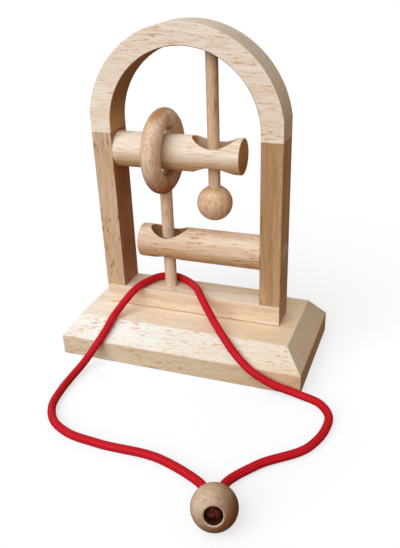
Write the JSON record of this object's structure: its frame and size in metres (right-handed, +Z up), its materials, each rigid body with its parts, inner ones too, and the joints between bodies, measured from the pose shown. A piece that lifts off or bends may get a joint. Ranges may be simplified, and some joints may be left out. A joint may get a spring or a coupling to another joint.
{
  "type": "wooden disentanglement puzzle",
  "caption": "Wooden disentanglement puzzle: an arched frame on a bevelled base, holed round crossbars, a hung ball, a ring on a rod and a beaded red cord loop.",
  "frame": {"origin": "middle of the base's underside, on the table", "axes": "+X along the frame to the viewer's right, +Y away from the viewer, +Z up"},
  "size_m": [0.1713, 0.1875, 0.1912],
  "materials": {
    "base_wood": "satin",
    "upright_wood": "satin",
    "arch_wood": "satin",
    "bar_wood": "satin",
    "rod_wood": "satin",
    "turned_wood": "satin",
    "dowel_wood": "satin",
    "bead_wood": "satin",
    "screw_steel": "zinc plated",
    "cord_red": "braided, matt"
  },
  "bodies": {
    "frame": {"base_plate": "base_wood", "foot_rail": "base_wood", "left_upright": "upright_wood", "right_upright": "upright_wood", "arch": "arch_wood", "upper_crossbar": "bar_wood", "lower_crossbar": "bar_wood", "hanging_rod": "rod_wood", "hanging_ball": "turned_wood", "standing_rod": "rod_wood", "ring": "turned_wood", "arch_dowels": "dowel_wood", "base_screws": "screw_steel"},
    "loop": {"cord_loop": "cord_red", "cord_knot": "cord_red"},
    "bead": {"loop_bead": "bead_wood"}
  },
  "joints": [
    {"name": "loop_lift", "type": "slide", "parent": "frame", "child": "loop", "axis": [0, 0, 1], "range_m": [0, 0.013]},
    {"name": "bead_spin", "type": "hinge", "parent": "loop", "child": "bead", "pos_m": [0.06, -0.1395, 0.0105], "axis": [0.2624, -0.8858, 0.3827], "continuous": true}
  ]
}
